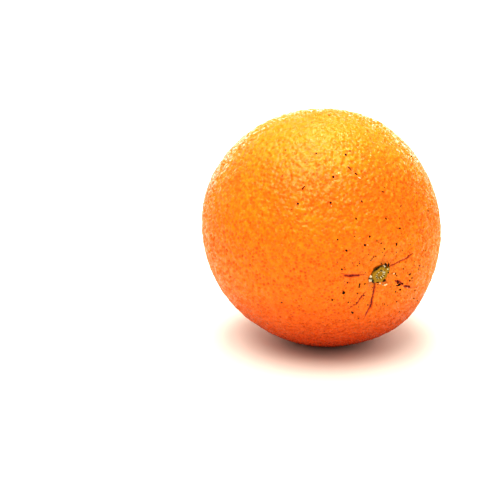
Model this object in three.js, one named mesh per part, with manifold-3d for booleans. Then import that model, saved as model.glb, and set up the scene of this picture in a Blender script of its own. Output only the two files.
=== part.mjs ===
// Orange: one whole eating orange that lies on its side on a small flat spot, with the dried
// stem button still in its dimple. Millimetres, +Z up, the front faces -Y. The origin lies on
// the surface that the fruit rests on, below the middle of the fruit's bounding box.
import * as THREE from 'three';
import { mergeVertices } from 'three/addons/utils/BufferGeometryUtils.js';
import Module from 'manifold-3d';

const wasm = await Module();
wasm.setup();

// ---- The fruit ----
const fruitWidth = 80.8;        // across the equator, halfway between stem and blossom end
const fruitLength = 79.4;       // from the stem end to the blossom end, without the dimples
const restSpotWidth = 14;       // the flat spot that the fruit's weight presses into its skin

// ---- How it lies ----
const stemHeading = 28.5;       // degrees from the front (-Y) towards +X
const stemDip = 6.5;            // degrees that the stem end points below level

// ---- The stem end ----
const dimpleDepth = 1.7;
const dimpleRadius = 8.5;
const collarHeight = 0.35;      // the low ring of skin around the dimple
const collarRadius = 15;
const collarSpread = 4;
const foldDepth = 0.4;          // the soft radial folds that run out of the dimple
const foldCount = 7;
const foldRadius = 7.5;
const foldSpread = 4;

// ---- The blossom end ----
const blossomDepth = 0.7;
const blossomRadius = 3.5;

// ---- The stem button ----
const buttonLength = 8.2;
const buttonWidth = 5.8;
const buttonTurn = -62;         // degrees round the stem, from straight up, of its long way
const buttonRim = 0.9;          // height of the rim above the floor of the dimple
const buttonCrown = 1.25;       // height of the highest ring above that floor
const lobeCount = 5;
const lobeDepth = 0.35;
const pitRadius = 1.5;          // the scar where the stalk broke off
const pitDepth = 0.6;
const buttonGap = 0.3;          // clearance between the button and the skin under it

// ---- How finely the surfaces are divided ----
const skinDetail = 15;
const stemCrowding = 0.45;      // 0 spreads the facets evenly, more draws them to the stem end
const buttonFacets = 40;

// Where the skin swells (+) or lies flatter (-): degrees round the stem from straight up,
// degrees from the stem, height in millimetres, and spread in degrees.
const swellings = [
  { turn: -143, fromStem: 54, height: 1.5, spread: 13 },
  { turn: 147, fromStem: 86, height: -1.2, spread: 24 },
  { turn: -65, fromStem: 73, height: -0.9, spread: 24 },
  { turn: 28, fromStem: 124, height: 0.6, spread: 16 },
  { turn: 70, fromStem: 124, height: 1, spread: 16 },
  { turn: -30, fromStem: 97, height: 0.4, spread: 12 },
  { turn: 150, fromStem: 144, height: -0.5, spread: 24 },
  { turn: -100, fromStem: 140, height: 0.5, spread: 22 },
];

const radians = THREE.MathUtils.degToRad;

// A unit vector in the fruit's own frame: stem along +Z, +X for straight up as it lies.
function fromStemAngles(turn, fromStem) {
  return new THREE.Vector3().setFromSphericalCoords(1, fromStem, turn + Math.PI / 2)
    .applyAxisAngle(new THREE.Vector3(1, 0, 0), Math.PI / 2);
}

// Bell-shaped falloff, 1 at distance 0.
function bell(distance, spread) {
  return Math.exp(-0.5 * (distance / spread) ** 2);
}

// The distance from the fruit's middle to its skin along a unit vector of the fruit's frame.
function skinRadius(direction) {
  const fromStem = Math.acos(THREE.MathUtils.clamp(direction.z, -1, 1));
  const turn = Math.atan2(direction.y, direction.x);
  let radius = 1 / Math.hypot(
    Math.sin(fromStem) / (fruitWidth / 2),
    Math.cos(fromStem) / (fruitLength / 2),
  );
  for (const swelling of swellings) {
    const middle = fromStemAngles(radians(swelling.turn), radians(swelling.fromStem));
    radius += swelling.height * bell(direction.angleTo(middle), radians(swelling.spread));
  }
  const stemArc = fromStem * fruitWidth / 2;
  const blossomArc = (Math.PI - fromStem) * fruitWidth / 2;
  const fold = (0.5 + 0.5 * Math.cos(foldCount * turn)) ** 2;
  radius -= dimpleDepth * bell(stemArc, dimpleRadius * Math.SQRT1_2);
  radius += collarHeight * bell(stemArc - collarRadius, collarSpread);
  radius -= foldDepth * fold * bell(stemArc - foldRadius, foldSpread);
  radius -= blossomDepth * bell(blossomArc, blossomRadius * Math.SQRT1_2);
  return radius;
}

// A closed shell over the whole fruit, lifted off the skin by a clearance.
function skinShell(clearance) {
  const shell = mergeVertices(positionsOnly(new THREE.IcosahedronGeometry(1, skinDetail)), 1e-5);
  const position = shell.getAttribute('position');
  const direction = new THREE.Vector3();
  for (let i = 0; i < position.count; i += 1) {
    direction.fromBufferAttribute(position, i).normalize();
    const even = Math.acos(THREE.MathUtils.clamp(direction.z, -1, 1));
    const turn = Math.atan2(direction.y, direction.x);
    const crowded = even - stemCrowding * Math.sin(even);
    direction.set(Math.cos(turn) * Math.sin(crowded), Math.sin(turn) * Math.sin(crowded),
      Math.cos(crowded));
    direction.multiplyScalar(skinRadius(direction) + clearance);
    position.setXYZ(i, direction.x, direction.y, direction.z);
  }
  return shell;
}

// The same geometry with only its positions, so that shared vertices can be merged.
function positionsOnly(geometry) {
  geometry.deleteAttribute('normal');
  geometry.deleteAttribute('uv');
  return geometry;
}

function toSolid(geometry) {
  const merged = mergeVertices(positionsOnly(geometry), 1e-5);
  return new wasm.Manifold(new wasm.Mesh({
    numProp: 3,
    vertProperties: new Float32Array(merged.getAttribute('position').array),
    triVerts: new Uint32Array(merged.index.array),
  }));
}

function toGeometry(solid) {
  const mesh = solid.getMesh();
  const geometry = new THREE.BufferGeometry();
  geometry.setAttribute('position', new THREE.BufferAttribute(mesh.vertProperties, 3));
  geometry.setIndex(new THREE.BufferAttribute(mesh.triVerts, 1));
  geometry.computeVertexNormals();
  return geometry;
}

// Turns the fruit's own frame so that the stem points to its heading and dip.
function layingDown() {
  const level = Math.cos(radians(stemDip));
  const stem = new THREE.Vector3(
    Math.sin(radians(stemHeading)) * level,
    -Math.cos(radians(stemHeading)) * level,
    -Math.sin(radians(stemDip)),
  );
  const up = new THREE.Vector3(0, 0, 1).addScaledVector(stem, -stem.z).normalize();
  const side = new THREE.Vector3().crossVectors(stem, up);
  return new THREE.Matrix4().makeBasis(up, side, stem);
}

// How far below the fruit's middle the flat spot lies.
function restDepth(layDown) {
  const down = new THREE.Vector3(0, 0, -1).transformDirection(layDown.clone().transpose());
  return Math.sqrt(skinRadius(down) ** 2 - (restSpotWidth / 2) ** 2);
}

function makeFruit(layDown) {
  const whole = toSolid(skinShell(0).applyMatrix4(layDown));
  const size = 2 * fruitWidth;
  const ground = new THREE.BoxGeometry(size, size, size);
  ground.translate(0, 0, -restDepth(layDown) - size / 2);
  return toGeometry(whole.subtract(toSolid(ground)));
}

// A low five-lobed cap with a pit, turned about the stem and cut to fit the dimple's floor.
function makeButton(layDown) {
  const floor = skinRadius(new THREE.Vector3(0, 0, 1)) + buttonGap;
  const rimRadius = buttonLength / 2;
  const profile = [
    new THREE.Vector2(0, -buttonCrown),
    new THREE.Vector2(0.9 * rimRadius, -buttonCrown),
    new THREE.Vector2(rimRadius, 0.6 * buttonRim),
    new THREE.Vector2(0.94 * rimRadius, buttonRim),
    new THREE.Vector2((rimRadius + pitRadius) / 2, buttonCrown),
    new THREE.Vector2(1.15 * pitRadius, buttonCrown),
    new THREE.Vector2(0.75 * pitRadius, buttonCrown - pitDepth),
    new THREE.Vector2(0, buttonCrown - pitDepth),
  ];
  const cap = new THREE.LatheGeometry(profile, buttonFacets);
  const position = cap.getAttribute('position');
  for (let i = 0; i < position.count; i += 1) {
    const turn = Math.atan2(position.getZ(i), position.getX(i));
    const reach = Math.hypot(position.getX(i), position.getZ(i)) / rimRadius;
    const lobe = 1 - lobeDepth / rimRadius * reach * (1 - Math.cos(lobeCount * turn));
    position.setX(i, position.getX(i) * lobe);
    position.setZ(i, position.getZ(i) * lobe * buttonWidth / buttonLength);
  }
  cap.rotateX(Math.PI / 2);
  cap.rotateZ(radians(buttonTurn));
  cap.translate(0, 0, floor);
  const raised = toSolid(cap.applyMatrix4(layDown));
  return toGeometry(raised.subtract(toSolid(skinShell(buttonGap).applyMatrix4(layDown))));
}

const layDown = layingDown();
const orange = new THREE.Group();

const fruit = new THREE.Mesh(
  makeFruit(layDown),
  new THREE.MeshStandardMaterial({ color: 0xf78a20, roughness: 0.45, metalness: 0 }),
);
fruit.name = 'fruit';

const stemButton = new THREE.Mesh(
  makeButton(layDown),
  new THREE.MeshStandardMaterial({ color: 0x8f7a3c, roughness: 0.85, metalness: 0 }),
);
stemButton.name = 'stem_button';

// The origin comes under the middle of the fruit, on the plane of the flat spot.
fruit.geometry.computeBoundingBox();
const middle = fruit.geometry.boundingBox.getCenter(new THREE.Vector3());
const place = new THREE.Vector3(-middle.x, -middle.y, -fruit.geometry.boundingBox.min.z);
fruit.position.copy(place);
stemButton.position.copy(place);
orange.add(fruit, stemButton);

export default orange;
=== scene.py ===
"""A whole orange on its side, with the dried stem button in its dimple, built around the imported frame."""
import math
from collections import namedtuple

import bpy
import bmesh
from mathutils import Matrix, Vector, noise as waves
from mathutils.bvhtree import BVHTree


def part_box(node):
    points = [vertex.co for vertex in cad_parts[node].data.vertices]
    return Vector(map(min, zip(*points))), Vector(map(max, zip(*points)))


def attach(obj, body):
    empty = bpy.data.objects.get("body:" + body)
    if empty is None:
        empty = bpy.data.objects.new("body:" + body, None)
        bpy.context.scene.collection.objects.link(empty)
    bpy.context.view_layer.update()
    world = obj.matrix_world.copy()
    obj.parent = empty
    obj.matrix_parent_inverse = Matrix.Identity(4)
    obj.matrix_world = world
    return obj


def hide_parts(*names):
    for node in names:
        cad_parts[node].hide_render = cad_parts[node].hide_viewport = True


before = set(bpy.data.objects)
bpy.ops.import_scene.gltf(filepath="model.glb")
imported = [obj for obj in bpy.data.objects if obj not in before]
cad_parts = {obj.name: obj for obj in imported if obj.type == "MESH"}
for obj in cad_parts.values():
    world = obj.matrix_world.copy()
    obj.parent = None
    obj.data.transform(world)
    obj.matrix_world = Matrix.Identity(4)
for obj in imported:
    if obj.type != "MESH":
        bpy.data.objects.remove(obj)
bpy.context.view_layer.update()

MM = 0.001
BODY = "root"
ALMOST_NONE = 1e-6

bl_info = {
    "name": "Orange",
    "version": (1, 0, 0),
    "blender": (4, 5, 0),
    "location": "3D View > Sidebar > Orange",
    "description": "Makes a whole orange with pored skin, a dried stem button and a studio stage",
    "category": "Object",
}

# Where the skin swells (+) or lies flatter (-): degrees round the stem from straight up,
# degrees from the stem, height, and spread in degrees.
SWELLINGS = (
    (-143, 54, 1.5 * MM, 13),
    (147, 86, -1.2 * MM, 24),
    (-65, 73, -0.9 * MM, 24),
    (28, 124, 0.6 * MM, 16),
    (70, 124, 1.0 * MM, 16),
    (-30, 97, 0.4 * MM, 12),
    (150, 144, -0.5 * MM, 24),
    (-100, 140, 0.5 * MM, 22),
)

# The dry cracks that run out from the button: where each starts and ends (degrees round the
# stem, millimetres from it), how far it bows sideways, its width and its depth in millimetres,
# and how dark it is (0 like the skin, 1 like the crease colour); that darkness is partly dried
# skin and partly painted shade in the groove.
Crease = namedtuple("Crease", "start end bow width depth dark")
CREASES = (
    Crease((156, 3.4), (169, 16.0), 0.3, 0.26, 0.45, 1.0),
    Crease((141, 7.2), (142, 12.4), -0.2, 0.2, 0.3, 0.8),
    Crease((142, 12.0), (137, 16.7), 0.3, 0.18, 0.2, 0.4),
    Crease((83, 5.3), (81, 14.2), 0.3, 0.2, 0.2, 0.45),
    Crease((86, 7.8), (84, 13.0), 0.2, 0.34, 0.3, 1.0),
    Crease((-60, 4.4), (-67, 13.6), -0.3, 0.2, 0.35, 0.65),
    Crease((-119, 7.3), (-119, 11.0), 0.2, 0.32, 0.3, 0.9),
    Crease((-120, 11.8), (-119, 15.0), 0.0, 0.36, 0.3, 0.9),
    Crease((-119, 15.0), (-117, 19.6), 0.2, 0.18, 0.15, 0.35),
    Crease((36, 6.4), (18, 8.4), 0.0, 0.16, 0.15, 0.3),
    Crease((-8, 4.6), (-14, 8.4), 0.3, 0.18, 0.2, 0.25),
)

# Crusts, spots and scratches on the skin: degrees round the stem, millimetres from it, length,
# width, heading (degrees from pointing away from the stem) and how pale (0 black, 1 white).
MARKS = (
    # The scabs along the crack to the right of the button.
    (-123, 9.4, 1.8, 0.9, 40, 0.0), (-120, 8.6, 1.0, 0.6, 60, 0.0), (-118, 10.6, 0.8, 0.45, 0, 0.05),
    (-121, 13.5, 0.6, 0.5, 40, 0.75), (-119, 12.6, 0.9, 0.5, 10, 0.0), (-118, 14.2, 0.9, 0.35, 20, 0.05),
    (-129, 11.3, 0.6, 0.5, 80, 0.1), (-98, 5.7, 0.8, 0.5, 50, 0.8), (-99, 6.5, 1.0, 0.4, 60, 0.0),
    (-104, 7.1, 0.7, 0.4, 70, 0.05),
    # Chips of dry skin below the button.
    (-171, 3.6, 0.9, 0.7, 40, 0.8), (-148, 5.3, 1.5, 0.6, 70, 0.95), (-158, 4.6, 0.8, 0.5, 10, 0.55),
    (-143, 5.3, 0.7, 0.4, 0, 0.8),
    # Spots round the stem.
    (-29, 11.1, 0.9, 0.6, 10, 0.0), (30, 12.5, 0.9, 0.7, 30, 0.15), (26, 12.1, 0.5, 0.4, 0, 0.6),
    (58, 9.3, 0.6, 0.5, 0, 0.0), (76, 14.2, 0.8, 0.55, 20, 0.1), (-6, 8.8, 0.7, 0.5, 40, 0.1),
    (98, 11.6, 0.6, 0.5, 0, 0.1), (111, 7.7, 0.9, 0.6, 60, 0.0), (112, 13.4, 1.2, 0.9, 30, 0.0),
    (-83, 16.3, 0.7, 0.5, 0, 0.05), (-94, 18.7, 0.6, 0.4, 0, 0.05), (-100, 12.5, 1.3, 0.35, 85, 0.1),
    (-110, 13.0, 0.7, 0.4, 60, 0.0), (-137, 10.1, 0.7, 0.5, 0, 0.05), (-145, 14.1, 0.7, 0.4, 90, 0.1),
    (148, 15.5, 1.5, 0.7, 80, 0.05), (164, 11.2, 0.8, 0.5, 60, 0.0), (-128, 22.8, 0.6, 0.5, 0, 0.1),
    (-128, 26.6, 0.6, 0.5, 0, 0.1), (-159, 13.2, 0.5, 0.4, 0, 0.05), (-164, 11.9, 0.5, 0.4, 0, 0.1),
    (35, 6.7, 0.9, 0.25, 65, 0.15), (24, 7.1, 0.7, 0.25, 60, 0.2), (128, 9.6, 0.6, 0.4, 0, 0.1),
    # Farther spots, and the long scratch with its pale tail.
    (9, 41.7, 0.9, 0.8, 0, 0.0), (22, 46.1, 0.7, 0.6, 0, 0.1), (22, 36.2, 0.8, 0.7, 20, 0.0),
    (39, 39.0, 1.7, 0.4, 95, 0.05), (33, 29.7, 0.8, 0.6, 0, 0.05), (34, 28.8, 0.5, 0.4, 0, 0.7),
    (13, 25.3, 0.8, 0.5, 0, 0.1), (24, 21.2, 0.7, 0.6, 0, 0.05), (-6, 27.1, 1.2, 0.35, 70, 0.0),
    (-23, 23.3, 0.7, 0.5, 0, 0.15), (-55, 29.5, 0.6, 0.4, 0, 0.1), (-6, 18.4, 0.8, 0.7, 0, 0.0),
    (-7, 69.0, 0.6, 0.5, 0, 0.15), (32, 53.9, 0.6, 0.5, 0, 0.1), (11, 36.6, 2.6, 0.34, 20, 0.0),
    (9, 34.3, 1.2, 0.4, 35, 0.0), (8, 32.7, 1.2, 0.5, 45, 0.8), (52, 37.0, 0.5, 0.3, 60, 0.1),
    # The dried end of the style, in the scar opposite the stem.
    (20, 126.5, 1.9, 1.5, 30, 0.38), (80, 125.4, 1.1, 0.6, 20, 0.2), (200, 125.1, 1.0, 0.7, 70, 0.4),
    (310, 124.6, 0.9, 0.5, 10, 0.1),
)

# The dried calyx tips round the button's disc: degrees round the stem, millimetres from it,
# length, width, heading, height and how pale. The near-black tips at 140 and 170 degrees lie in
# the shadowed gap under the disc's lower edge, those at -32 and -50 degrees in the gaps along
# its upper edge, and the one at 0 degrees in a hole in the disc: painted shade.
CALYX = (
    (96, 3.4, 1.3, 0.7, 70, 1.1, 0.8), (113, 3.6, 1.7, 0.9, 50, 1.1, 0.95),
    (105, 3.5, 1.1, 0.35, 10, 1.25, 0.0), (-26, 3.0, 0.9, 0.6, 10, 1.25, 0.85),
    (-62, 3.3, 1.6, 1.1, 30, 1.25, 0.62), (-54, 2.9, 0.7, 0.5, 60, 1.45, 0.9),
    (-32, 3.7, 1.2, 0.5, 50, 0.8, 0.0), (-50, 4.2, 1.6, 0.35, 50, 0.6, 0.05),
    (-78, 2.7, 1.2, 0.7, 40, 1.2, 0.0), (0, 1.5, 1.0, 0.6, 60, 1.4, 0.0),
    (-38, 2.4, 0.7, 0.5, 30, 1.35, 0.0),
    (30, 2.6, 1.8, 0.3, 80, 0.75, 0.22), (66, 2.9, 1.6, 0.3, 80, 0.75, 0.25),
    (-142, 3.4, 1.3, 0.4, 100, 0.6, 0.05), (140, 3.3, 1.7, 0.8, 70, 0.45, 0.0),
    (170, 3.0, 1.2, 0.4, 80, 0.4, 0.05),
)


# How the skin is divided and pitted: the finest ball that the glands are scattered on, the most
# glands on a ball of radius 1, and how far pits differ in width and in depth.
BALL_DETAIL = 6
GLAND_LIMIT = 8000.0
PIT_WIDTHS = (0.75, 1.25)
PIT_DEPTHS = (0.35, 1.0)
# A corner of a pit's floor touches one face of the floor and two of its walls.
FACES_AT_CORNER = 3.0
# The skin's fine shape: noise scales per metre of skin, and how far cracks waver.
LUMP_SCALE = 150.0
RIPPLE_SCALE = 500.0
WAVER_SCALE = 14.0
WAVER = 1.8 * MM
WRINKLES_AT = 6.5 * MM
WRINKLES_SPREAD = 3.2 * MM
CALM_FROM, CALM_TO = 3.0 * MM, 9.0 * MM
GROOVE_SPREAD = 2.4
# How softly the skin rounds into the flat spot it rests on.
REST_ROUNDING = 0.25 * MM

# The peel's patterns, as noise scales per metre of skin.
PATCHES, MOTTLES, DOTS, DULL_SPOTS, SMUDGES = 55.0, 760.0, 120.0, 260.0, 420.0
PORES, GRAIN, DINTS, SHINE = 1150.0, 2600.0, 720.0, 700.0

# The crusts: how far their foot sinks, their rings from foot to top, and the height above the
# skin from which points are dropped on it.
FOOT_DEPTH = 0.12 * MM
CRUST_RINGS = (1.0, 0.86, 0.6, 0.3)
DROP_FROM = 30 * MM

# The button's disc: its corners, its rings, its height at each share of the way out, and where
# the ring of vein ends lies.
BUTTON_CORNERS = 96
BUTTON_RINGS = 22
BUTTON_PROFILE = (
    (0.0, 0.62), (0.12, 0.66), (0.24, 0.5), (0.34, 0.52), (0.5, 0.82), (0.66, 0.96),
    (0.8, 1.0), (0.92, 0.86), (1.0, 0.5),
)
VEINS_AT = 0.44
VEINS_SPREAD = 0.15
EDGE_FROM = 0.86

# The specks crowd within about this distance of the stem.
SPECKS_SPREAD = 9.5 * MM

FLOOR_SIZE = 6.0
FLOOR_ROUGHNESS = 0.9
OVERHEAD_PLACE = (-0.1, -0.3, 0.8)
BACK_PLACE = (0.0, 0.27, 0.85)
SENSOR_WIDTH = 36.0

# The fruit's sizes that its node tree takes, by the names of the properties.
FRUIT_SIZES = (
    "Width", "Length", "Dimple Depth", "Dimple Radius", "Collar Height", "Collar Radius",
    "Collar Spread", "Fold Depth", "Fold Radius", "Fold Spread", "Blossom Depth",
    "Blossom Radius", "Pore Spacing", "Pore Crowding", "Pore Depth", "Pore Opening", "Ripple",
    "Lumps", "Wrinkles",
)


# ---- Sizes and colours that a user would change ----


def length(name, description, default):
    return bpy.props.FloatProperty(
        name=name, description=description, default=default, unit="LENGTH", precision=5
    )


def angle(name, description, default):
    return bpy.props.FloatProperty(
        name=name, description=description, default=math.radians(default), unit="ROTATION"
    )


def colour(name, description, default):
    return bpy.props.FloatVectorProperty(
        name=name, description=description, default=default, subtype="COLOR", size=3, min=0, max=1
    )


def fraction(name, description, default):
    return bpy.props.FloatProperty(
        name=name, description=description, default=default, subtype="FACTOR", min=0, max=1
    )


def number(name, description, default):
    return bpy.props.FloatProperty(name=name, description=description, default=default)


def count(name, description, default):
    return bpy.props.IntProperty(name=name, description=description, default=default)


class OrangeFruit(bpy.types.PropertyGroup):
    """Sizes of the fruit and its skin."""

    width: length("Width", "Across the equator, halfway from stem to blossom end", 80.8 * MM)
    length: length("Length", "From the stem end to the blossom end", 79.4 * MM)
    stem_heading: angle("Stem heading", "From the front towards +X", 28.5)
    stem_dip: angle("Stem dip", "How far the stem end points below level", 6.5)
    dimple_depth: length("Dimple depth", "Depth of the hollow around the button", 1.7 * MM)
    dimple_radius: length("Dimple radius", "Radius of the hollow around the button", 8.5 * MM)
    collar_height: length("Collar height", "Height of the low ring round the dimple", 0.35 * MM)
    collar_radius: length("Collar radius", "Radius of that ring", 15 * MM)
    collar_spread: length("Collar spread", "Softness of that ring", 4 * MM)
    fold_depth: length("Fold depth", "Depth of the soft folds at the stem end", 0.4 * MM)
    folds: count("Folds", "Soft folds", 7)
    fold_radius: length("Fold radius", "Where the folds are deepest", 7.5 * MM)
    fold_spread: length("Fold spread", "How far the folds reach", 4 * MM)
    blossom_depth: length("Blossom depth", "Depth of the mark opposite the stem", 0.7 * MM)
    blossom_radius: length("Blossom radius", "Radius of the mark opposite the stem", 3.5 * MM)
    pore_spacing: length("Pore spacing", "Least distance between two oil glands", 1.03 * MM)
    pore_crowding: fraction("Pore crowding", "How much the glands crowd to the stem", 0.22)
    pore_depth: length("Pore depth", "Depth of an oil gland's pit", 0.3 * MM)
    pore_opening: fraction("Pore opening", "Share of its cell that a pit takes", 0.45)
    ripple: length("Ripple", "Height of the fine waves in the skin", 0.32 * MM)
    lumps: length("Lumps", "Height of the broad waves in the skin", 0.15 * MM)
    wrinkles: length("Wrinkles", "Height of the fine wrinkles round the button", 0.16 * MM)
    seed: count("Seed", "Chooses the pattern", 11)


class OrangePeel(bpy.types.PropertyGroup):
    """Colours and finish of the peel."""

    ripe: colour("Ripe", "The skin's main colour", (0.84, 0.197, 0.004))
    # Also painted light: the yellower colour laid on the fruit's top.
    patches_and_painted_light: colour("Sunny", "The lighter, yellower patches", (0.93, 0.335, 0.006))
    # Painted shade: the redder, darker colour laid on the lower skin and in the pits.
    painted_shade: colour("Deep", "The redder, lower skin and the pits", (0.52, 0.062, 0.002))
    # Partly painted shade: the redder band on a crack's walls.
    sore_skin_and_shade: colour("Raw", "The sore skin beside the cracks", (0.62, 0.05, 0.003))
    stem_tint: colour("Stem tint", "The duller skin round the button", (0.80, 0.27, 0.02))
    # Partly painted shade: the dark line down a crack's groove.
    crease: colour("Crease", "The dry cracks", (0.17, 0.004, 0.001))
    scar: colour("Scar", "The dry skin at the button and at the blossom end", (0.3, 0.11, 0.015))
    scar_start: length("Scar start", "How far from the stem the blossom scar starts", 123.8 * MM)
    roughness: fraction("Roughness", "Of the waxy skin", 0.2)
    dimples: length("Dimples", "Depth of the shallow dints between the pits", 0.74 * MM)


class OrangeButton(bpy.types.PropertyGroup):
    """Sizes and colours of the dried stem button."""

    length: length("Length", "Along its longer way", 6.4 * MM)
    width: length("Width", "Across its shorter way", 5.0 * MM)
    turn: angle("Turn", "Where its long way points, round the stem", -62)
    height: length("Height", "From the skin to its highest ring", 0.95 * MM)
    lobes: count("Lobes", "Bulges in its outline", 5)
    lobe_depth: length("Lobe depth", "How far the bulges stand out", 0.18 * MM)
    bundles: count("Bundles", "Ends of the stem's veins", 11)
    bundle_height: length("Bundle height", "How far the veins' ends stand up", 0.22 * MM)
    disc: colour("Disc", "The dry olive disc", (0.38, 0.225, 0.010))
    # Its dark edge, and painted shade in the hollows and under the edge.
    dark_edge_and_shade: colour("Bark", "Its dark edge and hollows", (0.035, 0.022, 0.005))
    pith: colour("Pith", "The pale ends and flakes", (0.78, 0.72, 0.55))


class OrangeMarks(bpy.types.PropertyGroup):
    """Sizes and colours of the spots on the skin."""

    speck_size: length("Speck size", "Width of a middling speck", 0.42 * MM)
    speck_count: count("Specks", "Specks on the whole skin", 110)
    stem_specks: count("Stem specks", "Specks round the stem", 90)
    crust_height: length("Crust height", "Height of the thickest crust", 0.16 * MM)
    crust: colour("Crust", "The dark spots and scabs", (0.018, 0.006, 0.003))
    chip: colour("Chip", "The pale dry chips", (0.85, 0.66, 0.42))
    seed: count("Seed", "Chooses the pattern", 5)


class OrangeStage(bpy.types.PropertyGroup):
    """The floor, the light and the camera."""

    floor: colour("Floor", "The pale floor", (0.92, 0.905, 0.81))
    key: number("Key", "Power of the soft light overhead", 3.2)
    key_size: length("Key size", "Width of the soft light overhead", 0.75)
    back: number("Back", "Power of the light behind it", 1.5)
    back_width: length("Back width", "Width of the light behind it", 0.5)
    back_depth: length("Back depth", "Other side of the light behind it", 0.16)
    air: number("Air", "Strength of the white room", 0.68)
    air_low: number("Air low", "Strength of the room near the floor", 0.42)
    air_behind: number("Air behind", "What the white wall behind the fruit adds", 2.1)
    lens: number("Lens", "Focal length in mm", 85.0)
    distance: length("Distance", "From the camera to the fruit's middle", 400 * MM)
    elevation: angle("Elevation", "How far the camera looks down", 16.7)
    left_of_fruit: length("Left of fruit", "How far left the camera aims", 23.9 * MM)
    below_fruit: length("Below fruit", "How far below the camera aims", 8.35 * MM)


# ---- Node trees written as sums ----


def plug(tree, value, socket):
    """Links a field to a socket, or sets a plain number or vector on it."""
    if isinstance(value, Field):
        tree.links.new(value.socket, socket)
    else:
        socket.default_value = value


class Field:
    """One value in a node tree. Arithmetic on fields adds the math nodes for it."""

    def __init__(self, tree, socket):
        self.tree = tree
        self.socket = socket

    def sum(self, node_type, operation, others, output):
        node = self.tree.nodes.new(node_type)
        node.operation = operation
        for value, socket in zip((self, *others), node.inputs):
            plug(self.tree, value, socket)
        return Field(self.tree, node.outputs[output])

    def math(self, operation, *others):
        return self.sum("ShaderNodeMath", operation, others, 0)

    def vector(self, operation, *others, output="Vector"):
        return self.sum("ShaderNodeVectorMath", operation, others, output)

    def __add__(self, other):
        return self.math("ADD", other)

    def __sub__(self, other):
        return self.math("SUBTRACT", other)

    def __mul__(self, other):
        return self.math("MULTIPLY", other)

    def __truediv__(self, other):
        return self.math("DIVIDE", other)

    def __pow__(self, other):
        return self.math("POWER", other)

    def dot(self, other):
        return self.vector("DOT_PRODUCT", other, output="Value")

    def scaled(self, factor):
        node = self.tree.nodes.new("ShaderNodeVectorMath")
        node.operation = "SCALE"
        plug(self.tree, self, node.inputs["Vector"])
        plug(self.tree, factor, node.inputs["Scale"])
        return Field(self.tree, node.outputs["Vector"])

    def bell(self, spread):
        """Bell-shaped falloff, 1 where this distance is 0."""
        return ((self / spread) ** 2.0 * -0.5).math("EXPONENT")

    def remap(self, low, high, to_low=0.0, to_high=1.0, smooth=True):
        node = self.tree.nodes.new("ShaderNodeMapRange")
        node.interpolation_type = "SMOOTHSTEP" if smooth else "LINEAR"
        for name, value in (
            ("Value", self), ("From Min", low), ("From Max", high),
            ("To Min", to_low), ("To Max", to_high),
        ):
            plug(self.tree, value, node.inputs[name])
        return Field(self.tree, node.outputs["Result"])


def components(vector):
    node = vector.tree.nodes.new("ShaderNodeSeparateXYZ")
    plug(vector.tree, vector, node.inputs[0])
    return tuple(Field(vector.tree, output) for output in node.outputs)


def combine(tree, x, y, z):
    node = tree.nodes.new("ShaderNodeCombineXYZ")
    for value, socket in zip((x, y, z), node.inputs):
        plug(tree, value, socket)
    return Field(tree, node.outputs[0])


def noise(place, scale, detail=2.0, roughness=0.5, output="Fac"):
    node = place.tree.nodes.new("ShaderNodeTexNoise")
    plug(place.tree, place, node.inputs["Vector"])
    node.inputs["Scale"].default_value = scale
    node.inputs["Detail"].default_value = detail
    node.inputs["Roughness"].default_value = roughness
    return Field(place.tree, node.outputs[output])


def cells(place, scale):
    """The distance to the nearest of many scattered points."""
    node = place.tree.nodes.new("ShaderNodeTexVoronoi")
    plug(place.tree, place, node.inputs["Vector"])
    node.inputs["Scale"].default_value = scale
    node.inputs["Randomness"].default_value = 0.9
    return Field(place.tree, node.outputs["Distance"])


def mixed(tree, amount, first, second):
    """Mixes two colours by an amount from 0 to 1."""
    node = tree.nodes.new("ShaderNodeMix")
    node.data_type = "RGBA"
    sockets = {"Factor": amount, "A": first, "B": second}
    for socket in node.inputs:
        if socket.enabled and socket.name in sockets:
            value = sockets[socket.name]
            if socket.name != "Factor" and not isinstance(value, Field):
                value = (*value, 1.0)
            plug(tree, value, socket)
    return Field(tree, next(s for s in node.outputs if s.enabled))


def random_field(tree, low, high, seed):
    node = tree.nodes.new("FunctionNodeRandomValue")
    node.data_type = "FLOAT"
    for name, value in (("Min", low), ("Max", high), ("Seed", seed)):
        plug(tree, value, next(s for s in node.inputs if s.enabled and s.name == name))
    return Field(tree, next(s for s in node.outputs if s.enabled))


def attribute(tree, name, kind="FLOAT_VECTOR"):
    node = tree.nodes.new("GeometryNodeInputNamedAttribute")
    node.data_type = kind
    node.inputs["Name"].default_value = name
    return Field(tree, next(s for s in node.outputs if s.enabled and s.name == "Attribute"))


def chain(tree, node_type, geometry, properties=None, **inputs):
    """Adds one geometry node after another and returns the node."""
    node = tree.nodes.new(node_type)
    for name, value in (properties or {}).items():
        setattr(node, name, value)
    if geometry is not None:
        tree.links.new(geometry, node.inputs[0])
    for name, value in inputs.items():
        socket = next(s for s in node.inputs if s.enabled and s.name == name.replace("_", " "))
        plug(tree, value, socket)
    return node


def stored(tree, geometry, name, value, kind="FLOAT_VECTOR", domain="POINT"):
    """Keeps a field on the geometry as an attribute and returns the geometry's socket."""
    kept = {"data_type": kind, "domain": domain}
    return chain(tree, "GeometryNodeStoreNamedAttribute", geometry, kept, Name=name, Value=value).outputs[0]


def new_tree(name, inputs):
    """A geometry node tree with named inputs and one geometry output."""
    tree = bpy.data.node_groups.new(name, "GeometryNodeTree")
    for label, kind in inputs:
        tree.interface.new_socket(name=label, in_out="INPUT", socket_type=kind)
    tree.interface.new_socket(name="Geometry", in_out="OUTPUT", socket_type="NodeSocketGeometry")
    entry = tree.nodes.new("NodeGroupInput")
    fields = {label: Field(tree, entry.outputs[label]) for label, _kind in inputs}
    return tree, fields


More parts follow.
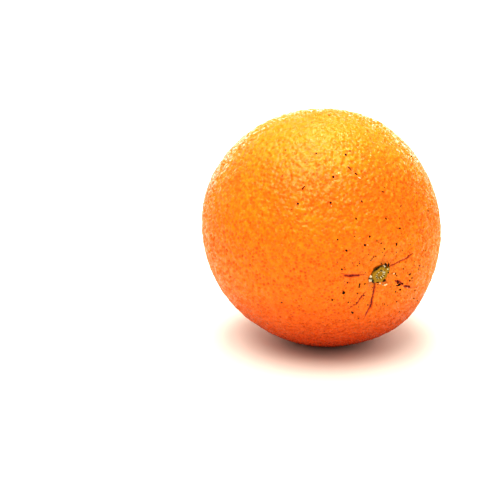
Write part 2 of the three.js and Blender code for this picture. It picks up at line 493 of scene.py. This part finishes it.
def dressed(tree, geometry, material):
    """Ends a tree: realized, smooth and with its material."""
    real = chain(tree, "GeometryNodeRealizeInstances", geometry)
    smooth = chain(tree, "GeometryNodeSetShadeSmooth", real.outputs[0])
    coated = chain(tree, "GeometryNodeSetMaterial", smooth.outputs[0])
    coated.inputs["Material"].default_value = material
    tree.links.new(coated.outputs[0], tree.nodes.new("NodeGroupOutput").inputs[0])
    return tree


def linked(name, data):
    """A new object in the scene."""
    made = bpy.data.objects.new(name, data)
    bpy.context.scene.collection.objects.link(made)
    return made


def grown(name, tree, values):
    """Evaluates a tree and returns its result as a plain mesh object at the origin."""
    seedling = linked(name + "_seedling", bpy.data.meshes.new(name + "_seedling"))
    modifier = seedling.modifiers.new("Geometry Nodes", "NODES")
    modifier.node_group = tree
    for item in tree.interface.items_tree:
        if item.item_type == "SOCKET" and item.in_out == "INPUT" and item.name in values:
            modifier[item.identifier] = values[item.name]
    bpy.context.view_layer.update()
    evaluated = seedling.evaluated_get(bpy.context.evaluated_depsgraph_get())
    mesh = bpy.data.meshes.new_from_object(evaluated)
    seedling.modifiers.remove(modifier)
    bpy.data.objects.remove(seedling)
    if not mesh.polygons:
        raise RuntimeError(name + " came out empty")
    mesh.name = name
    return linked(name, mesh)


# ---- The fruit ----


def stem_axes(sizes):
    """The fruit's own axes as it lies: up, side and along the stem."""
    level = math.cos(sizes.stem_dip)
    stem = Vector((
        math.sin(sizes.stem_heading) * level,
        -math.cos(sizes.stem_heading) * level,
        -math.sin(sizes.stem_dip),
    ))
    up = (Vector((0, 0, 1)) - stem * stem.z).normalized()
    return up, stem.cross(up), stem


def from_stem_angles(turn, from_stem):
    """A unit vector of the fruit's own frame from two angles in degrees."""
    turn, from_stem = math.radians(turn), math.radians(from_stem)
    return (
        math.sin(from_stem) * math.cos(turn),
        math.sin(from_stem) * math.sin(turn),
        math.cos(from_stem),
    )


def on_stem_plane(turn, distance):
    """A point of the flattened skin round the stem, from degrees and millimetres."""
    turn = math.radians(turn)
    return Vector((math.cos(turn) * distance * MM, math.sin(turn) * distance * MM, 0))


def crease_field(plane, crease, spread=1.0):
    """1 in the middle of a crease and 0 beyond its width, on the flattened skin."""
    start = on_stem_plane(*crease.start)
    run = on_stem_plane(*crease.end) - start
    along = run.normalized()
    aside = Vector((-along.y, along.x, 0))
    offset = plane.vector("SUBTRACT", tuple(start))
    share_along = offset.dot(tuple(along)) / run.length
    held = share_along.math("MAXIMUM", 0.0).math("MINIMUM", 1.0)
    overrun = (share_along - held) * run.length
    bow = (held * math.pi).math("SINE") * (crease.bow * MM)
    sideways = offset.dot(tuple(aside)) - bow
    distance = (overrun * overrun + sideways * sideways).math("SQRT")
    taper = (held * math.pi * 0.88 + 0.2).math("SINE") ** 0.5
    return distance.remap(0.0, taper * (crease.width * MM * spread), 1.0, 0.0)


def skin_radius(direction, sizes, arc):
    """The smooth distance from the fruit's middle to its skin, as the CAD solid has it."""
    x, y, z = components(direction)
    across = (x * x + y * y).math("SQRT")
    equator = sizes["Width"] * 0.5
    pole = sizes["Length"] * 0.5
    flat_part = across / equator
    long_part = z / pole
    radius = (flat_part * flat_part + long_part * long_part).math("INVERSE_SQRT")
    for turn, from_stem, height, spread in SWELLINGS:
        middle = from_stem_angles(turn, from_stem)
        away = direction.dot(middle).math("MINIMUM", 1.0).math("ARCCOSINE")
        radius = radius + away.bell(math.radians(spread)) * height
    turn = y.math("ARCTAN2", x)
    fold = ((turn * sizes["Folds"]).math("COSINE") * 0.5 + 0.5) ** 2.0
    blossom_arc = equator * math.pi - arc
    radius = radius - arc.bell(sizes["Dimple Radius"] * math.sqrt(0.5)) * sizes["Dimple Depth"]
    ring = (arc - sizes["Collar Radius"]).bell(sizes["Collar Spread"])
    radius = radius + ring * sizes["Collar Height"]
    folds = fold * (arc - sizes["Fold Radius"]).bell(sizes["Fold Spread"])
    radius = radius - folds * sizes["Fold Depth"]
    blossom = blossom_arc.bell(sizes["Blossom Radius"] * math.sqrt(0.5))
    return radius - blossom * sizes["Blossom Depth"]


def fine_relief(direction, sizes, plane, arc, pit):
    """Pits, waves, wrinkles and creases: what the finished skin adds to the smooth one."""
    tree = direction.tree
    skin = direction.scaled(sizes["Width"] * 0.5)
    lumps = (noise(skin, LUMP_SCALE, 1.0) - 0.5) * 2.0 * sizes["Lumps"]
    ripple = (noise(skin, RIPPLE_SCALE, 1.0) - 0.5) * 2.0 * sizes["Ripple"]
    around = plane.vector("NORMALIZE")
    x, y, _z = components(around)
    streaks = noise(combine(tree, x * 3.2, y * 3.2, arc * 90.0), 2.0, 2.0) - 0.5
    wrinkles = streaks * 2.0 * (arc - WRINKLES_AT).bell(WRINKLES_SPREAD) * sizes["Wrinkles"]
    calm = arc.remap(CALM_FROM, CALM_TO, 0.25, 1.0)
    pits = pit * calm * sizes["Pore Depth"]
    relief = lumps + ripple + wrinkles - pits
    for crease in CREASES:
        groove = crease_field(plane, crease, spread=GROOVE_SPREAD)
        relief = relief - groove * (crease.depth * MM)
    return relief


def fruit_tree(material):
    """Geometry nodes that grow the whole fruit: gland cells first, then the skin's shape."""
    inputs = [(name, "NodeSocketFloat") for name in FRUIT_SIZES]
    inputs += [(name, "NodeSocketInt") for name in ("Folds", "Seed")]
    inputs += [(name, "NodeSocketVector") for name in ("Up", "Side", "Stem", "Box Low", "Box High")]
    tree, sizes = new_tree("orange_fruit", inputs)
    here = Field(tree, tree.nodes.new("GeometryNodeInputPosition").outputs[0])

    # One cell of skin for each oil gland, scattered with no rows and crowded towards the stem.
    ball = chain(tree, "GeometryNodeMeshIcoSphere", None, Radius=1.0, Subdivisions=BALL_DETAIL)
    seeds = chain(
        tree, "GeometryNodeDistributePointsOnFaces", ball.outputs["Mesh"],
        {"distribute_method": "POISSON"}, Distance_Min=sizes["Pore Spacing"] / (sizes["Width"] * 0.5),
        Density_Max=GLAND_LIMIT, Seed=sizes["Seed"],
    )
    spread = here.vector("NORMALIZE")
    on_ball = chain(tree, "GeometryNodeSetPosition", seeds.outputs["Points"], Position=spread)
    joined = chain(tree, "GeometryNodeConvexHull", on_ball.outputs[0])
    x, y, z = components(here.vector("NORMALIZE"))
    even = z.math("MAXIMUM", -1.0).math("MINIMUM", 1.0).math("ARCCOSINE")
    crowded = even - even.math("SINE") * sizes["Pore Crowding"]
    pull = crowded.math("SINE") / even.math("SINE")
    crowd = combine(tree, x * pull, y * pull, crowded.math("COSINE")).vector("NORMALIZE")
    scattered = chain(tree, "GeometryNodeSetPosition", joined.outputs[0], Position=crowd)
    honeycomb = chain(tree, "GeometryNodeDualMesh", scattered.outputs[0])

    # A pit in each cell, no two of one width or depth.
    rims = chain(
        tree, "GeometryNodeExtrudeMesh", honeycomb.outputs[0], {"mode": "FACES"}, Offset_Scale=0.0,
    )
    rims.inputs["Individual"].default_value = True
    top = Field(tree, rims.outputs["Top"])
    opening = random_field(tree, *PIT_WIDTHS, sizes["Seed"]) * sizes["Pore Opening"]
    pits = chain(
        tree, "GeometryNodeScaleElements", rims.outputs["Mesh"], {"domain": "FACE"},
        Selection=top, Scale=opening,
    )
    depth = random_field(tree, *PIT_DEPTHS, sizes["Seed"] + 1.0)
    marked = stored(tree, pits.outputs[0], "pit_face", top * depth, "FLOAT", "FACE")
    shared = attribute(tree, "pit_face", "FLOAT") * FACES_AT_CORNER
    marked = stored(tree, marked, "pit", shared, "FLOAT")
    marked = chain(tree, "GeometryNodeRemoveAttribute", marked, Name="pit_face")

    # The skin flattened round the stem, slightly wavering so that no crease runs dead straight.
    direction = here.vector("NORMALIZE")
    x, y, z = components(direction)
    from_stem = z.math("MINIMUM", 1.0).math("MAXIMUM", -1.0).math("ARCCOSINE")
    arc = from_stem * sizes["Width"] * 0.5
    across = (x * x + y * y).math("SQRT").math("MAXIMUM", ALMOST_NONE)
    plane = combine(tree, x / across * arc, y / across * arc, 0.0)
    waver = noise(direction, WAVER_SCALE, 3.0, 0.6, output="Color").vector("SUBTRACT", (0.5, 0.5, 0.5))
    waver = waver.vector("MULTIPLY", (WAVER, WAVER, 0.0))
    wavered = plane.vector("ADD", waver).vector("ADD", combine(tree, 0.0, 0.0, arc))
    placed = stored(tree, marked.outputs[0], "stem_plane", wavered)
    placed = stored(tree, placed, "ball", direction.scaled(sizes["Width"] * 0.5))

    # The shape itself.
    direction = here.vector("NORMALIZE")
    sx, sy, arc = components(attribute(tree, "stem_plane"))
    plane = combine(tree, sx, sy, 0.0)
    radius = skin_radius(direction, sizes, arc)
    radius = radius + fine_relief(direction, sizes, plane, arc, attribute(tree, "pit", "FLOAT"))
    shaped = chain(tree, "GeometryNodeSetPosition", placed, Position=direction.scaled(radius))

    # Laid on its side, moved into its box, and pressed flat where it rests.
    x, y, z = components(here)
    lying = sizes["Up"].scaled(x).vector("ADD", sizes["Side"].scaled(y))
    lying = lying.vector("ADD", sizes["Stem"].scaled(z))
    laid = chain(tree, "GeometryNodeSetPosition", shaped.outputs[0], Position=lying)
    laid = stored(tree, laid.outputs[0], "from_middle", here)
    own = chain(tree, "GeometryNodeBoundBox", laid)
    own_low, own_high = Field(tree, own.outputs["Min"]), Field(tree, own.outputs["Max"])
    to_high = sizes["Box High"].vector("SUBTRACT", own_high)
    to_low = sizes["Box Low"].vector("SUBTRACT", own_low)
    middle = to_high.vector("ADD", to_low).scaled(0.5)
    mx, my, _mz = components(middle)
    _hx, _hy, hz = components(to_high)
    moved = chain(tree, "GeometryNodeSetPosition", laid, Offset=combine(tree, mx, my, hz))
    x, y, z = components(here)
    _lx, _ly, floor = components(sizes["Box Low"])
    pressed = z.math("SMOOTH_MAX", floor, REST_ROUNDING)
    pressed = pressed.math("MAXIMUM", floor)
    flat = chain(tree, "GeometryNodeSetPosition", moved.outputs[0], Position=combine(tree, x, y, pressed))
    return dressed(tree, flat.outputs[0], material)


# ---- Places on the finished skin ----


class Skin:
    """The finished skin. Finds places on it from degrees round the stem and a distance."""

    def __init__(self, fruit, sizes):
        mesh = fruit.data
        self.up, self.side, self.stem = stem_axes(sizes)
        self.equator = sizes.width / 2
        highest = max(mesh.vertices, key=lambda vertex: vertex.co.z)
        self.middle = highest.co - mesh.attributes["from_middle"].data[highest.index].vector
        self.surface = BVHTree.FromPolygons(
            [vertex.co for vertex in mesh.vertices], [face.vertices for face in mesh.polygons]
        )

    def drop(self, point, inward):
        """Where a point above the skin lands when it moves inward."""
        landed = self.surface.ray_cast(point - inward * DROP_FROM, inward)[0]
        if landed is None:
            raise RuntimeError("a mark missed the skin")
        return landed

    def place(self, turn, distance):
        """A point of the skin, outward from it, away from the stem, and round the stem."""
        from_stem = distance * MM / self.equator
        x, y, z = from_stem_angles(turn, math.degrees(from_stem))
        outward = self.up * x + self.side * y + self.stem * z
        around = self.stem.cross(outward).normalized()
        point = self.drop(self.middle + outward * self.equator, -outward)
        return point, outward, around.cross(outward), around


def add_crust(bm, skin, place, size, heading, height, pale, sides=14):
    """A low ragged mound that follows the skin, with its foot just under it."""
    point, outward, forth, around = skin.place(*place)
    heading = math.radians(heading)
    along = forth * math.cos(heading) + around * math.sin(heading)
    across = outward.cross(along)
    pale_layer = bm.verts.layers.float["pale"]

    def raised(share, corner):
        angle = corner / sides * math.tau
        reach = Vector((math.cos(angle), math.sin(angle), 0))
        ragged = 1 + 0.45 * waves.noise(point * 3000 + reach * 1.3)
        x = reach.x * share * ragged * size[0] / 2
        y = reach.y * share * ragged * size[1] / 2
        foot = skin.drop(point + along * x + across * y, -outward)
        bumpy = 1 + 0.6 * waves.noise(foot * 5000)
        lift = height * (1 - share ** 2) * bumpy if share < 1 else -FOOT_DEPTH
        vertex = bm.verts.new(foot + outward * lift)
        vertex[pale_layer] = pale
        return vertex

    rings = [[raised(share, corner) for corner in range(sides)] for share in CRUST_RINGS]
    top = raised(0.0, 0)
    bm.faces.new(list(reversed(rings[0])))
    for outer, inner in zip(rings, rings[1:]):
        for corner in range(sides):
            following = (corner + 1) % sides
            bm.faces.new((outer[corner], outer[following], inner[following], inner[corner]))
    for corner in range(sides):
        bm.faces.new((rings[-1][corner], rings[-1][(corner + 1) % sides], top))


def finished(name, bm, material):
    """Turns built faces into a smooth piece with one material."""
    bmesh.ops.recalc_face_normals(bm, faces=bm.faces)
    for face in bm.faces:
        face.smooth = True
    mesh = bpy.data.meshes.new(name)
    bm.to_mesh(mesh)
    bm.free()
    mesh.materials.append(material)
    return linked(name, mesh)


# ---- The stem button ----


def button_profile(share):
    """Height of the disc, as a share of its full height, from its middle (0) to its edge (1)."""
    for (inner, low), (outer, high) in zip(BUTTON_PROFILE, BUTTON_PROFILE[1:]):
        if share <= outer:
            blend = (share - inner) / (outer - inner)
            blend = blend * blend * (3 - 2 * blend)
            return low + (high - low) * blend
    return BUTTON_PROFILE[-1][1]


def build_button(skin, sizes):
    """The disc on the dimple's floor, with the ring of vein ends, and the calyx tips round it."""
    bm = bmesh.new()
    pale_layer = bm.verts.layers.float.new("pale")
    long_way = Vector((math.cos(sizes.turn), math.sin(sizes.turn), 0))
    short_way = Vector((-long_way.y, long_way.x, 0))
    shares = [step / BUTTON_RINGS for step in range(1, BUTTON_RINGS + 1)]

    def raised(share, corner):
        angle = corner / BUTTON_CORNERS * math.tau
        reach = Vector((math.cos(angle), math.sin(angle), 0))
        lobe = math.cos(sizes.lobes * angle + 0.6) * sizes.lobe_depth
        ragged = 0.35 * MM * waves.noise(reach * 2.2)
        outline = (lobe + ragged) * share ** 2
        across = long_way * reach.x * (sizes.length / 2 * share + outline)
        across += short_way * reach.y * (sizes.width / 2 * share + outline)
        raise_up = button_profile(share) * sizes.height
        ring = math.exp(-((share - VEINS_AT) / VEINS_SPREAD) ** 2)
        vein = 0.5 + 0.5 * math.cos(sizes.bundles * angle + 2 * waves.noise(reach * 3))
        raise_up += ring * (vein - 0.35) * sizes.bundle_height
        grain = waves.noise(across * 2200) + 0.5 * waves.noise(across * 6000)
        raise_up += grain * 0.09 * MM
        point = skin.middle + skin.up * across.x + skin.side * across.y + skin.stem * skin.equator
        foot = skin.drop(point, -skin.stem)
        vertex = bm.verts.new(foot + skin.stem * raise_up)
        edge = max(0.0, (share - EDGE_FROM) / (1 - EDGE_FROM))
        # Darker where the ring dips between the vein ends (painted shade) and towards the edge.
        vertex[pale_layer] = 0.5 + ring * (vein - 0.5) * 1.1 + 0.12 * grain - 0.3 * edge
        return vertex

    middle = raised(0.0, 0)
    rings = [[raised(share, corner) for corner in range(BUTTON_CORNERS)] for share in shares]
    # The skirt down into the skin is dark: painted shade under the disc's edge.
    floor = []
    for vertex in rings[-1]:
        sunk = bm.verts.new(vertex.co - skin.stem * (0.5 * sizes.height + 0.35 * MM))
        sunk[pale_layer] = 0.12
        floor.append(sunk)
    for corner in range(BUTTON_CORNERS):
        bm.faces.new((middle, rings[0][corner], rings[0][(corner + 1) % BUTTON_CORNERS]))
    for inner, outer in zip(rings, (*rings[1:], floor)):
        for corner in range(BUTTON_CORNERS):
            following = (corner + 1) % BUTTON_CORNERS
            bm.faces.new((inner[corner], outer[corner], outer[following], inner[following]))
    bm.faces.new(floor)
    # Some of these tips are near-black mounds standing for shade in gaps and a hole: painted shade.
    for turn, distance, long, wide, heading, high, pale in CALYX:
        add_crust(bm, skin, (turn, distance), (long * MM, wide * MM), heading, high * MM * 0.9, pale, 20)
    return bm


# ---- Specks ----


def speck_tree(material):
    """Geometry nodes that scatter small dark specks over the skin, thickest round the stem."""
    inputs = [("Skin", "NodeSocketObject"), ("Size", "NodeSocketFloat"), ("Seed", "NodeSocketInt")]
    inputs += [("Everywhere", "NodeSocketFloat"), ("At Stem", "NodeSocketFloat")]
    inputs += [("Stem Spread", "NodeSocketFloat")]
    tree, sizes = new_tree("skin_specks", inputs)
    source = tree.nodes.new("GeometryNodeObjectInfo")
    plug(tree, sizes["Skin"], source.inputs["Object"])
    _x, _y, arc = components(attribute(tree, "stem_plane"))
    density = sizes["Everywhere"] + arc.bell(sizes["Stem Spread"]) * sizes["At Stem"]
    spots = chain(
        tree, "GeometryNodeDistributePointsOnFaces", source.outputs["Geometry"],
        {"distribute_method": "RANDOM"}, Density=density, Seed=sizes["Seed"],
    )
    blob = chain(tree, "GeometryNodeMeshUVSphere", None, Segments=8, Rings=4, Radius=0.5)
    chance = random_field(tree, 0.0, 1.0, sizes["Seed"] + 1.0)
    wide = (chance ** 3.0) * 1.3 + 0.55
    stretch = random_field(tree, 0.6, 1.0, sizes["Seed"] + 2.0)
    scale = combine(tree, wide, wide * stretch, 0.3).scaled(sizes["Size"])
    placed = chain(
        tree, "GeometryNodeInstanceOnPoints", spots.outputs["Points"],
        Rotation=Field(tree, spots.outputs["Rotation"]), Scale=scale,
    )
    tree.links.new(blob.outputs["Mesh"], placed.inputs["Instance"])
    spin = random_field(tree, 0.0, math.tau, sizes["Seed"] + 3.0)
    spun = chain(
        tree, "GeometryNodeRotateInstances", placed.outputs[0], Rotation=combine(tree, 0.0, 0.0, spin)
    )
    return dressed(tree, spun.outputs[0], material)


# ---- Materials ----


def new_material(name, constants):
    """A material whose shader has the given plain numbers on its own sockets."""
    material = bpy.data.materials.new(name)
    material.use_nodes = True
    tree = material.node_tree
    shader = next(n for n in tree.nodes if n.bl_idname == "ShaderNodeBsdfPrincipled")
    for socket, value in constants.items():
        shader.inputs[socket].default_value = value
    return material, tree, shader


def shader_attribute(tree, name, output="Vector"):
    node = tree.nodes.new("ShaderNodeAttribute")
    node.attribute_name = name
    return Field(tree, node.outputs[output])


def coordinates(tree, kind):
    return Field(tree, tree.nodes.new("ShaderNodeTexCoord").outputs[kind])


def bump(tree, height, distance, strength=1.0, normal=None):
    node = tree.nodes.new("ShaderNodeBump")
    node.inputs["Distance"].default_value = distance
    node.inputs["Strength"].default_value = strength
    plug(tree, height, node.inputs["Height"])
    if normal is not None:
        plug(tree, normal, node.inputs["Normal"])
    return Field(tree, node.outputs[0])


def peel_material(colours):
    """Waxy orange skin: patches, gland pits, a duller stem end and dry dark creases, partly painted shade;
    painted light yellows the top, painted shade reddens the bottom and the pits.
    """
    material, tree, shader = new_material("orange_peel", {
        "IOR": 1.42, "Coat Weight": 0.25, "Coat Roughness": 0.15, "Coat IOR": 1.4,
    })
    place = shader_attribute(tree, "ball")
    sx, sy, arc = components(shader_attribute(tree, "stem_plane"))
    plane = combine(tree, sx, sy, 0.0)
    pit = shader_attribute(tree, "pit", "Fac")
    right, _y, height = components(coordinates(tree, "Object"))

    # Painted light: yellower on top, where the lights overhead fall. Also yellower towards +X, with patches
    # and a fine mottling.
    patches = noise(place, PATCHES, 3.0, 0.55).remap(0.35, 0.68, 0.0, 0.3)
    mottled = noise(place, MOTTLES, 1.0).remap(0.35, 0.65, -0.2, 0.34)
    toward_plus_x = right.remap(18 * MM, 40 * MM) * 0.3
    lively = height.remap(25 * MM, 60 * MM, 0.35, 1.0)
    painted_light_and_patches = height.remap(58 * MM, 83 * MM) * 0.8 + (patches + mottled) * lively + toward_plus_x
    skin = mixed(tree, painted_light_and_patches.math("MINIMUM", 1.0), colours.ripe, colours.patches_and_painted_light)

    # Painted shade: redder and darker low down, towards the floor, and in the gland pits, most of all in
    # the lower half.
    redder = height.remap(30 * MM, 3 * MM) * 0.9
    skin = mixed(tree, redder, skin, colours.painted_shade)
    # Painted shade in the pits: deeper pits darker, more so low down.
    painted_pit_shade = noise(place, DOTS, 2.0).remap(0.3, 0.7, 0.2, 0.62)
    painted_pit_shade = painted_pit_shade * height.remap(35 * MM, 60 * MM, 1.0, 0.3)
    skin = mixed(tree, pit.remap(0.4, 0.95) * painted_pit_shade, skin, colours.painted_shade)

    # Duller and scarred round the button, and scarred at the blossom end.
    dull = arc.bell(9.0 * MM) * noise(place, DULL_SPOTS, 2.0).remap(0.3, 0.7, 0.35, 0.85)
    skin = mixed(tree, dull, skin, colours.stem_tint)
    smudge = arc.remap(7.0 * MM, 2.6 * MM) * noise(place, SMUDGES, 3.0).remap(0.4, 0.62, 0.05, 0.75)
    scar = arc.remap(colours.scar_start, colours.scar_start + 2.5 * MM) * 0.85
    skin = mixed(tree, smudge + scar, skin, colours.scar)
    # Each crack gets a redder band on its walls and a dark line down its middle: partly dried skin, partly
    # painted shade in the groove.
    for crease in CREASES:
        red_edge_and_shade = crease_field(plane, crease, spread=3.2) * (0.8 * crease.dark)
        skin = mixed(tree, red_edge_and_shade, skin, colours.sore_skin_and_shade)
        line = crease_field(plane, crease, spread=1.5) * crease.dark
        skin = mixed(tree, line, skin, colours.crease)
    plug(tree, skin, shader.inputs["Base Color"])

    pores = cells(place, PORES).remap(0.0, 0.42, 0.0, 1.0)
    grain = noise(place, GRAIN, 2.0)
    dints = noise(place, DINTS, 0.0)
    normal = bump(tree, grain, 0.02 * MM, 0.5)
    normal = bump(tree, pores, 0.09 * MM, 0.8, normal)
    normal = bump(tree, dints, colours.dimples, 1.0, normal)
    plug(tree, normal, shader.inputs["Normal"])
    shine = noise(place, SHINE, 2.0).remap(0.3, 0.7, colours.roughness - 0.06, colours.roughness + 0.1)
    plug(tree, shine, shader.inputs["Roughness"])
    return material


def button_material(colours):
    """Dry olive wood: dark at the edge, with painted shade in the hollows between the vein ends and on the
    skirt under the edge; pale on the vein ends and flakes.
    """
    material, tree, shader = new_material("dried_button", {"Roughness": 0.62})
    place = coordinates(tree, "Object")
    pale = shader_attribute(tree, "pale", "Fac")
    fibres = noise(place, 2600.0, 3.0, 0.6)
    blotches = noise(place, 950.0, 2.0)
    tone = pale + (fibres - 0.5) * 0.45 + (blotches - 0.55) * 0.7
    skin = mixed(tree, tone.remap(0.05, 0.4), colours.dark_edge_and_shade, colours.disc)
    skin = mixed(tree, tone.remap(0.62, 0.86), skin, colours.pith)
    plug(tree, skin, shader.inputs["Base Color"])
    plug(tree, bump(tree, fibres, 0.12 * MM, 0.8), shader.inputs["Normal"])
    return material


def crust_material(colours):
    """Dark brown crust that turns to pale dry skin where it has flaked."""
    material, tree, shader = new_material("skin_crust", {"Roughness": 0.8, "Specular IOR Level": 0.2})
    place = coordinates(tree, "Object")
    pale = shader_attribute(tree, "pale", "Fac")
    flecks = noise(place, 3500.0, 2.0)
    amount = (pale + (flecks - 0.5) * 0.5 * (pale * 4.0).math("MINIMUM", 1.0)).remap(0.3, 0.7)
    plug(tree, mixed(tree, amount, colours.crust, colours.chip), shader.inputs["Base Color"])
    plug(tree, bump(tree, flecks, 0.05 * MM, 0.6), shader.inputs["Normal"])
    return material


def floor_material(stage):
    constants = {"Base Color": (*stage.floor, 1.0), "Roughness": FLOOR_ROUGHNESS}
    return new_material("pale_floor", constants)[0]


# ---- Operators ----


class ORANGE_OT_fruit(bpy.types.Operator):
    """Grow the whole fruit with its pored skin"""

    bl_idname = "orange.fruit"
    bl_label = "Fruit"

    def execute(self, context):
        sizes = context.scene.orange_fruit
        up, side, stem = stem_axes(sizes)
        low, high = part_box("fruit")
        tree = fruit_tree(peel_material(context.scene.orange_peel))
        values = {name: getattr(sizes, name.lower().replace(" ", "_")) for name in FRUIT_SIZES}
        values.update({
            "Folds": sizes.folds, "Seed": sizes.seed, "Up": up, "Side": side, "Stem": stem,
            "Box Low": low, "Box High": high,
        })
        fruit = grown("orange_fruit", tree, values)
        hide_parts("fruit")
        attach(fruit, BODY)
        return {"FINISHED"}


class ORANGE_OT_button(bpy.types.Operator):
    """Set the dried stem button in its dimple"""

    bl_idname = "orange.button"
    bl_label = "Stem button"

    def execute(self, context):
        sizes = context.scene.orange_button
        skin = Skin(context.scene.objects["orange_fruit"], context.scene.orange_fruit)
        button = finished("dried_stem_button", build_button(skin, sizes), button_material(sizes))
        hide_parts("stem_button")
        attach(button, BODY)
        return {"FINISHED"}


class ORANGE_OT_marks(bpy.types.Operator):
    """Put the scabs, chips and specks on the skin"""

    bl_idname = "orange.marks"
    bl_label = "Marks"

    def execute(self, context):
        sizes = context.scene.orange_marks
        fruit = context.scene.objects["orange_fruit"]
        skin = Skin(fruit, context.scene.orange_fruit)
        material = crust_material(sizes)

        bm = bmesh.new()
        bm.verts.layers.float.new("pale")
        for turn, distance, long, wide, heading, pale in MARKS:
            height = sizes.crust_height * min(1.0, 0.4 + 0.6 * wide)
            add_crust(bm, skin, (turn, distance), (long * MM, wide * MM), heading, height, pale)
        scabs = finished("skin_scabs", bm, material)

        skin_area = 4 * math.pi * skin.equator ** 2
        stem_area = math.tau * SPECKS_SPREAD ** 2
        specks = grown("skin_specks", speck_tree(material), {
            "Skin": fruit,
            "Size": sizes.speck_size,
            "Seed": sizes.seed,
            "Everywhere": sizes.speck_count / skin_area,
            "At Stem": sizes.stem_specks / stem_area,
            "Stem Spread": SPECKS_SPREAD,
        })
        for piece in (scabs, specks):
            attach(piece, BODY)
        return {"FINISHED"}


class ORANGE_OT_stage(bpy.types.Operator):
    """Set the pale floor, the soft studio light and the camera"""

    bl_idname = "orange.stage"
    bl_label = "Stage"

    def execute(self, context):
        stage = context.scene.orange_stage
        low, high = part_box("fruit")
        middle = (low + high) / 2

        bpy.ops.mesh.primitive_grid_add(x_subdivisions=2, y_subdivisions=2, size=FLOOR_SIZE)
        floor = context.object
        floor.name = "floor"
        floor.data.materials.append(floor_material(stage))

        world = bpy.data.worlds.new("white_room")
        context.scene.world = world
        world.use_nodes = True
        air = world.node_tree.nodes["Background"]
        air.inputs["Color"].default_value = (1, 1, 1, 1)
        _x, behind, above = components(coordinates(world.node_tree, "Generated"))
        room = above.remap(0.05, 0.5, stage.air_low, stage.air)
        wall = behind.remap(0.58, 0.88) * above.remap(0.42, 0.12) * stage.air_behind
        plug(world.node_tree, room + wall, air.inputs["Strength"])

        overhead = (stage.key_size, stage.key_size)
        behind = (stage.back_width, stage.back_depth)
        self.soft_light("overhead_light", Vector(OVERHEAD_PLACE), overhead, stage.key, middle)
        self.soft_light("back_light", Vector(BACK_PLACE), behind, stage.back, middle)

        lens = bpy.data.cameras.new("camera")
        lens.lens = stage.lens
        lens.sensor_width = SENSOR_WIDTH
        camera = linked("camera", lens)
        towards = Vector((0, -math.cos(stage.elevation), math.sin(stage.elevation)))
        upward = Vector((0, math.sin(stage.elevation), math.cos(stage.elevation)))
        camera.location = middle + towards * stage.distance
        aim = middle - Vector((1, 0, 0)) * stage.left_of_fruit - upward * stage.below_fruit
        camera.rotation_euler = (aim - camera.location).to_track_quat("-Z", "Y").to_euler()
        context.scene.camera = camera

        context.scene.view_settings.view_transform = "Standard"
        context.scene.view_settings.look = "Very High Contrast"
        return {"FINISHED"}

    def soft_light(self, name, place, size, power, target):
        lamp = bpy.data.lights.new(name, "AREA")
        lamp.shape = "ELLIPSE"
        lamp.size, lamp.size_y = size
        lamp.energy = power
        light = linked(name, lamp)
        light.location = place
        light.rotation_euler = (target - place).to_track_quat("-Z", "Y").to_euler()


class ORANGE_PT_panel(bpy.types.Panel):
    """Lists the pieces of the orange"""

    bl_idname = "ORANGE_PT_panel"
    bl_label = "Orange"
    bl_space_type = "VIEW_3D"
    bl_region_type = "UI"
    bl_category = "Orange"

    def draw(self, context):
        for name, kind in SETTINGS.items():
            column = self.layout.column(align=True)
            for key in kind.__annotations__:
                column.prop(getattr(context.scene, name), key)
        for operator in OPERATORS:
            self.layout.operator(operator.bl_idname)


SETTINGS = {
    "orange_fruit": OrangeFruit,
    "orange_peel": OrangePeel,
    "orange_button": OrangeButton,
    "orange_marks": OrangeMarks,
    "orange_stage": OrangeStage,
}
OPERATORS = (ORANGE_OT_fruit, ORANGE_OT_button, ORANGE_OT_marks, ORANGE_OT_stage)


def register():
    for cls in (*SETTINGS.values(), *OPERATORS, ORANGE_PT_panel):
        bpy.utils.register_class(cls)
    for name, cls in SETTINGS.items():
        setattr(bpy.types.Scene, name, bpy.props.PointerProperty(type=cls))


def unregister():
    for name in SETTINGS:
        delattr(bpy.types.Scene, name)
    for cls in (ORANGE_PT_panel, *reversed(OPERATORS), *reversed(SETTINGS.values())):
        bpy.utils.unregister_class(cls)


def main():
    register()
    bpy.ops.orange.fruit()
    bpy.ops.orange.button()
    bpy.ops.orange.marks()
    bpy.ops.orange.stage()


if __name__ == "__main__":
    main()
